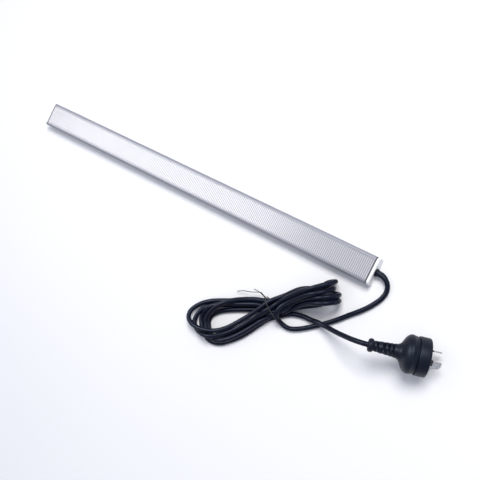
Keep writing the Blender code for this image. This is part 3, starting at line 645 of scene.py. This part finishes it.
def cord_route():
    bush = np.array((BUSH_END, 0, EXIT_HEIGHT))
    anchors = [bush, bush + np.array((STUB, 0, 0))]
    anchors += stations(LEAD_IN + LEAD_IN_TO_HANK)
    anchors += hank_anchors()
    anchors += stations(LEAD_OUT_FROM_HANK + LEAD_OUT)
    plug_back = -PLUG_LENGTH - PLUG_COLLAR
    anchors += [plug_point(plug_back - STUB), plug_point(plug_back + 0.5 * MM)]
    return relaxed(smooth_route(anchors, ROUTE_STEP), HELD_START, HELD_END)


def curve_object(name, points, radius, look, resolution=6, radii=None):
    data = bpy.data.curves.new(name, "CURVE")
    data.dimensions = "3D"
    data.bevel_depth = radius
    data.bevel_resolution = resolution
    data.use_fill_caps = True
    spline = data.splines.new("POLY")
    spline.points.add(len(points) - 1)
    for index, (knot, point) in enumerate(zip(spline.points, points)):
        knot.co = (*point, 1.0)
        if radii is not None:
            knot.radius = radii[index]
    spline.use_smooth = True
    return add_object(name, data, look)


def make_cord(looks):
    route = cord_route()
    cord = curve_object("mains_cord", route, CORD_RADIUS, looks["cord"], 7)
    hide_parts("cord_lead_in", "cord_hank", "cord_lead_out")
    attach(cord, BODY)
    length = float(np.linalg.norm(np.diff(route, axis=0), axis=1).sum())
    return cord, route, length


def waist_frame():
    """Middle of the tie on the floor, the way it runs across the bundle, and the way the bundle runs."""
    across = Vector(WAIST_ACROSS).normalized()
    return Vector(WAIST_CENTRE) * MM, across, Vector((-across.y, across.x, 0))


def tie_loop(route):
    """The wire's closed way round the runs that cross the waist."""
    centre, across, along = waist_frame()
    shift = route - np.array(centre)
    near = np.abs(shift @ np.array(along)) < 3.5 * MM
    reach = shift @ np.array(across)
    near &= np.abs(reach) < 20 * MM
    outline = np.stack([reach[near], route[near][:, 2]], axis=1)
    loop = []
    for step in range(48):
        angle = 2 * math.pi * step / 48 + math.radians(TWIST_ANGLE)
        way = np.array((math.cos(angle), math.sin(angle)))
        best = outline[np.argmax(outline @ way)] + way * (CORD_RADIUS + TIE_WIRE)
        loop.append(centre + across * best[0] + Vector((0, 0, max(best[1], TIE_WIRE))))
    return loop


def tie_strands(start):
    """Two wires twisted round each other, out from the loop."""
    lean = Vector(TWIST_LEAN).normalized()
    side = lean.cross(Vector((0, 0, 1))).normalized()
    rise = side.cross(lean)
    strands = []
    for phase in (0, math.pi):
        strand = []
        for step in range(31):
            share = step / 30
            angle = phase + share * math.pi * 6
            offset = (side * math.cos(angle) + rise * math.sin(angle)) * TIE_WIRE
            strand.append(start + lean * share * TWIST_LENGTH + offset)
        strands.append(strand)
    return strands


def make_tie(looks, route):
    """A thin coated wire round the waist, closed by a twist with two loose tails."""
    loop = tie_loop(route)
    strands = tie_strands(loop[0])
    names = ("wire_tie_long_tail", "wire_tie_short_tail")
    pieces = [curve_object("wire_tie_loop", loop + [loop[0]], TIE_WIRE, looks["tie"], 3)]
    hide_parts("wire_tie")
    for name, strand, tail in zip(names, strands, TIE_TAILS):
        knots = [np.array(strand[-1])]
        knots += [knots[0] + np.array(offset) * MM for offset in tail]
        path = [np.array(point) for point in strand] + list(smooth_route(knots, 1 * MM))[1:]
        pieces.append(curve_object(name, path, TIE_WIRE * 0.9, looks["tie"], 3))
    for piece in pieces:
        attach(piece, BODY)
    return pieces


# ---------------------------------------------------------------- bar

def make_profile(looks):
    """The channel, with two fine extrusion lines along each shoulder and softened lips."""
    edge = PROFILE_WIDTH / 2
    inner = edge - WALL
    half = arc((edge - FOOT_RADIUS, FOOT_RADIUS), FOOT_RADIUS, -90, 0, 6)
    for height in LINE_HEIGHTS:
        half += [(edge, height), (edge - LINE_DEPTH, height + LINE_DEPTH), (edge, height + 2 * LINE_DEPTH)]
    centre = (edge - SHOULDER_RADIUS, PROFILE_HEIGHT - SHOULDER_RADIUS)
    half += arc(centre, SHOULDER_RADIUS, 0, 90, 16)
    half += [(MOUTH_HALF + 0.15 * MM, PROFILE_HEIGHT), (MOUTH_HALF, PROFILE_HEIGHT - 0.15 * MM)]
    half += [(across * MM, up * MM) for across, up in CHANNEL_STEPS]
    half += [(inner, 9.9 * MM), (inner, 8.3 * MM)]
    half += [(across * MM, up * MM) for across, up in LEDGE]
    half += [(inner, 7.3 * MM), (inner, WALL)]
    outline = both_sides(half)
    places = np.linspace(-PROFILE_LENGTH / 2, PROFILE_LENGTH / 2, 11)
    rings = [[(x, a, b) for a, b in outline] for x in places]
    profile = finish_mesh("channel_profile", loft(rings), looks["aluminium"], 30)
    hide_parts("profile")
    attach(profile, BODY)


def make_lens(looks):
    """Frosted strip: flat-topped ribs across its width between two smooth lips."""
    half_length = PROFILE_LENGTH / 2
    count = round(PROFILE_LENGTH / RIB_PITCH)
    pitch = PROFILE_LENGTH / count
    top = PROFILE_HEIGHT - 0.1 * MM
    along = []
    for rib in range(count):
        for share, depth in RIB_SECTION:
            along.append((-half_length + (rib + share) * pitch, top - GROOVE_DEPTH * depth))
    along.append((half_length, top - GROOVE_DEPTH))
    rings = []
    for x, crest in along:
        half = [(across * MM, up * MM) for across, up in LENS_FOOT + LENS_LIP]
        half.append((RIB_HALF, crest))
        rings.append([(x, a, b) for a, b in both_sides(half)])
    lens = finish_mesh("ribbed_lens", loft(rings), looks["lens"], 12)
    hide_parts("lens")
    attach(lens, BODY)


def make_cap(name, node, side, looks):
    """End cap with a rounded outer edge and a shallow panel in its face."""
    inner_face = side * (CAP_FACE - CAP_THICK)
    rings = []
    sections = [(0.0, 0.1 * MM), (0.15 * MM, 0.0), (CAP_THICK - CAP_EDGE, 0.0)]
    for step in range(1, 7):
        angle = math.radians(15 * step)
        depth = CAP_THICK - CAP_EDGE + CAP_EDGE * math.sin(angle)
        sections.append((depth, CAP_EDGE * (1 - math.cos(angle))))
    for depth, inset in sections:
        x = inner_face + side * depth
        rings.append([(x, a, b) for a, b in cap_ring(inset)])
    face_x = side * CAP_FACE
    rings.append([(face_x, a, b) for a, b in cap_ring(1.6 * MM)])
    rings.append([(face_x - side * 0.25 * MM, a, b) for a, b in cap_ring(1.85 * MM)])
    shape = loft(rings)
    cap = finish_mesh(name, shape, looks["cap"], 40)
    if side > 0:
        ream(cap, BUSH_HOLE)
    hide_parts(node)
    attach(cap, BODY)


def cap_ring(inset):
    """The cap's outline pulled in by a distance all round."""
    edge = PROFILE_WIDTH / 2
    foot = arc((edge - FOOT_RADIUS, FOOT_RADIUS), FOOT_RADIUS - inset, -90, 0, 6)
    centre = (edge - SHOULDER_RADIUS, PROFILE_HEIGHT - SHOULDER_RADIUS)
    return both_sides(foot + arc(centre, SHOULDER_RADIUS - inset, 0, 90, 12))


def ream(target, radius):
    """A round hole through the cap for the bush."""
    tool = turned([(0.24, radius), (0.27, radius)], 48)
    bmesh.ops.recalc_face_normals(tool, faces=tool.faces)
    mesh = bpy.data.meshes.new("ream")
    tool.to_mesh(mesh)
    tool.free()
    cutter = bpy.data.objects.new("ream", mesh)
    bpy.context.scene.collection.objects.link(cutter)
    cutter.location = (0, 0, EXIT_HEIGHT)
    step = target.modifiers.new("bush_hole", "BOOLEAN")
    step.operation = "DIFFERENCE"
    step.solver = "EXACT"
    step.object = cutter
    bpy.context.view_layer.update()
    graph = bpy.context.evaluated_depsgraph_get()
    whole = bpy.data.meshes.new_from_object(target.evaluated_get(graph))
    target.modifiers.clear()
    target.data = whole
    whole.set_sharp_from_angle(angle=math.radians(40))
    bpy.data.objects.remove(cutter, do_unlink=True)


def make_strain_relief(looks, route):
    """Shank in the channel, collar on the cap, and a taper that bends with the cord."""
    start = CAP_FACE + 0.3 * MM
    straight = [(CAP_FACE - 15.8 * MM, 2.7), (CAP_FACE - 15.2 * MM, 3.2)]
    straight += [(start + away * MM, radius) for away, radius in BUSH_COLLAR]
    centres = [Vector((x, 0, EXIT_HEIGHT)) for x, _ in straight]
    radii = [radius * MM for _, radius in straight]
    reach = np.concatenate([[0], np.cumsum(np.linalg.norm(np.diff(route, axis=0), axis=1))])
    for step in range(1, 8):
        mark = step * 1.2 * MM
        centres.append(Vector([float(np.interp(mark, reach, route[:, axis])) for axis in range(3)]))
        radii.append((3.38 - 0.05 * step) * MM)
    rings = []
    for index, (centre, radius) in enumerate(zip(centres, radii)):
        before = centres[max(index - 1, 0)]
        after = centres[min(index + 1, len(centres) - 1)]
        ahead = (after - before).normalized()
        side = ahead.cross(Vector((0, 0, 1))).normalized()
        rise = side.cross(ahead)
        ring = []
        for step in range(40):
            angle = 2 * math.pi * step / 40
            ring.append(centre + side * radius * math.cos(angle) + rise * radius * math.sin(angle))
        rings.append(ring)
    bush = finish_mesh("strain_relief_bush", loft(rings), looks["plug"], 50)
    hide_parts("strain_relief")
    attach(bush, BODY)
    return bush


# ---------------------------------------------------------------- plug

def plug_frame():
    heading = Matrix.Rotation(math.radians(PLUG_HEADING), 3, "Z")
    dip = Matrix.Rotation(math.radians(PLUG_DIP), 3, "Y")
    roll = Matrix.Rotation(math.radians(PLUG_ROLL), 3, "X")
    return Matrix.Translation(PLUG_CENTRE) @ (heading @ dip @ roll).to_4x4()


def place_in_plug(piece, local=None):
    piece.data.transform(plug_frame() @ (local or Matrix.Identity(4)))
    return piece


def boot_sections():
    """Distance, radius and slot depth in millimetres, from the collar along the boot."""
    sections = [(-3, 2.9, 0), (-2.95, 4.6, 0), (-2.5, 5.9, 0), (-1.5, 6.75, 0), (0, 7.0, 0)]
    sections += [(1.5, 6.75, 0), (2.5, 5.9, 0), (2.95, 5.2, 0), (3.3, 5.15, 0)]
    for centre, wide in BOOT_SLOTS:
        radius = 5.2 + centre * 0.075
        near, far = centre - wide / 2, centre + wide / 2
        sections += [(near - 0.3, radius, 0), (near, radius - 0.15, 0.2)]
        sections += [(near + 0.05, radius - 0.2, SLOT_DEPTH), (far - 0.05, radius - 0.2, SLOT_DEPTH)]
        sections += [(far, radius - 0.15, 0.2), (far + 0.3, radius, 0)]
    return sections


def bell_sections():
    """Distance from the face and radius in millimetres, from the neck to the step behind the face."""
    start = PLUG_LENGTH / MM
    bell = [(-33, 7), (-31, 7.3), (-29.4, 7.9), (-28.2, 8.8), (-27.2, 10), (-26.3, 11.5), (-25.5, 13.1)]
    bell += [(-24.7, 14.7), (-23.9, 16), (-23, 17.2), (-22, 18.2), (-21, 18.9), (-20, 19.4)]
    bell += [(-19, 19.7), (-18, 19.8)]
    bell += [(-17.2, 19.75), (-16.8, 19.4), (-13.6, 18.9), (-13.3, 18.3), (-12.2, 18.2), (-11.8, 17.6)]
    return [(distance + start, radius, 0) for distance, radius in bell]


def make_plug_body(looks):
    """Collar, slotted boot and bell as one moulding. Each slot leaves a bridge at either side."""
    rings = []
    for distance, radius, slot in boot_sections() + bell_sections():
        ring = []
        for step in range(96):
            angle = 2 * math.pi * step / 96
            facing = abs(math.cos(angle - math.radians(SLOT_FACING)))
            share = min(max((facing - SLOT_START) / SLOT_FADE, 0), 1)
            across = (radius - slot * share) * MM
            ring.append((distance * MM - PLUG_LENGTH, across * math.cos(angle), across * math.sin(angle)))
        rings.append(ring)
    body = finish_mesh("plug_moulding", loft(rings), looks["plug"], 38)
    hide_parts("plug_body")
    return body


def make_plug_face(looks):
    thick = PLUG_FACE_THICK
    rim = [(-thick, 17.5 * MM), (-thick, 19.0 * MM), (-thick + 0.5 * MM, 19.55 * MM)]
    rim += [(-thick + 1.2 * MM, PLUG_RADIUS), (-1.5 * MM, PLUG_RADIUS)]
    for step in range(1, 7):
        angle = math.radians(15 * step)
        inward = 1.5 * MM * (1 - math.cos(angle))
        rim.append((-1.5 * MM + 1.5 * MM * math.sin(angle), PLUG_RADIUS - inward))
    rim += [(0, 15.4 * MM), (-0.3 * MM, 15.1 * MM), (-0.3 * MM, 14.6 * MM), (0, 14.3 * MM)]
    face = finish_mesh("plug_face_disc", turned(rim, 96), looks["plug"], 42)
    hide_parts("plug_face")
    return face


def bar_rings(sections):
    """Rectangular rings with cut corners: (distance, half thickness, half width, corner)."""
    rings = []
    for x, deep, high, corner in sections:
        ring = []
        for sy, sz, flip in ((1, -1, 0), (1, 1, 1), (-1, 1, 0), (-1, -1, 1)):
            first = (x, sy * (deep - corner), sz * high)
            second = (x, sy * deep, sz * (high - corner))
            ring += [second, first] if flip else [first, second]
        rings.append(ring)
    return rings


def make_pins(looks):
    pieces = []
    for name, side, rise, slant in PIN_PLACES:
        earth = name == "earth"
        length = EARTH_PIN_LENGTH if earth else LINE_PIN_LENGTH
        bare = -4 * MM if earth else SLEEVE_LENGTH + 0.1 * MM
        deep, high = PIN_THICK / 2, PIN_WIDTH / 2
        sections = [(bare, deep, high, 0.15 * MM), (length - 1.6 * MM, deep, high, 0.15 * MM)]
        sections += [(length - 0.9 * MM, deep * 0.93, high - 0.35 * MM, 0.2 * MM)]
        sections += [(length - 0.3 * MM, deep * 0.7, high - 1.0 * MM, 0.25 * MM)]
        sections += [(length, deep * 0.4, high - 1.6 * MM, 0.2 * MM)]
        local = Matrix.Translation((0, side * MM, rise * MM)) @ Matrix.Rotation(math.radians(slant), 4, "X")
        pin = finish_mesh("flat_pin_" + name, loft(bar_rings(sections)), looks["pin"], 40)
        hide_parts("pin_" + name)
        place_in_plug(pin, local)
        pieces.append(pin)
        if not earth:
            wall = [(-3.7 * MM, deep, high, 0.15 * MM), (SLEEVE_LENGTH - 0.2 * MM, deep, high, 0.15 * MM)]
            wall += [(SLEEVE_LENGTH, deep - 0.12 * MM, high - 0.12 * MM, 0.1 * MM)]
            skin = loft(bar_rings(wall))
            sleeve = finish_mesh("pin_root_sleeve_" + name, skin, looks["sleeve"], 40)
            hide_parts("sleeve_" + name)
            place_in_plug(sleeve, local)
            pieces.append(sleeve)
    return pieces


def make_plug(looks):
    body = place_in_plug(make_plug_body(looks))
    face = place_in_plug(make_plug_face(looks))
    pieces = [body, face] + make_pins(looks)
    for piece in pieces:
        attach(piece, BODY)
    return pieces


# ---------------------------------------------------------------- carried-over CAD nodes

# The look of each CAD node that is shown as it is.
INNER = {
    "gasket_cable": "gasket", "gasket_blind": "gasket", "led_board": "board_white",
    "insulating_tray": "tray", "driver_board": "board_green", "bridge_rectifier": "package",
    "driver_chip": "package", "inductor": "package", "fuse": "fuse", "input_capacitor": "can",
    "output_capacitor": "can", "wire_live": "brown", "wire_neutral": "blue", "wire_earth": "earth",
    "wire_led_plus": "red", "wire_led_minus": "black", "earth_terminal": "tinned",
    "earth_screw": "steel",
}


def dress_nodes(looks):
    for name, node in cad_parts.items():
        key = "phosphor" if name.startswith("led_") and name != "led_board" else INNER.get(name)
        if key:
            for index in range(len(node.material_slots)):
                node.material_slots[index].material = looks[key].material


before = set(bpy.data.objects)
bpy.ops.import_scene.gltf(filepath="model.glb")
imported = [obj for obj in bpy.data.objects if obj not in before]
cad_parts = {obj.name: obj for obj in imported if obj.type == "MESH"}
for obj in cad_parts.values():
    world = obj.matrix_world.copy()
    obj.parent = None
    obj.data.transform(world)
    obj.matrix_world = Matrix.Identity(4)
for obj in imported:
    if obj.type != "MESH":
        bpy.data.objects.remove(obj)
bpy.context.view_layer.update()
looks = make_looks()
make_camera()
make_stage()
cord, route, cord_length = make_cord(looks)
make_profile(looks)
make_lens(looks)
make_cap("cable_end_cap", "end_cap_cable", 1, looks)
make_cap("blind_end_cap", "end_cap_blind", -1, looks)
bush = make_strain_relief(looks, route)
plug_pieces = make_plug(looks)
tie_pieces = make_tie(looks, route)
dress_nodes(looks)
print("cord length", round(cord_length, 4))
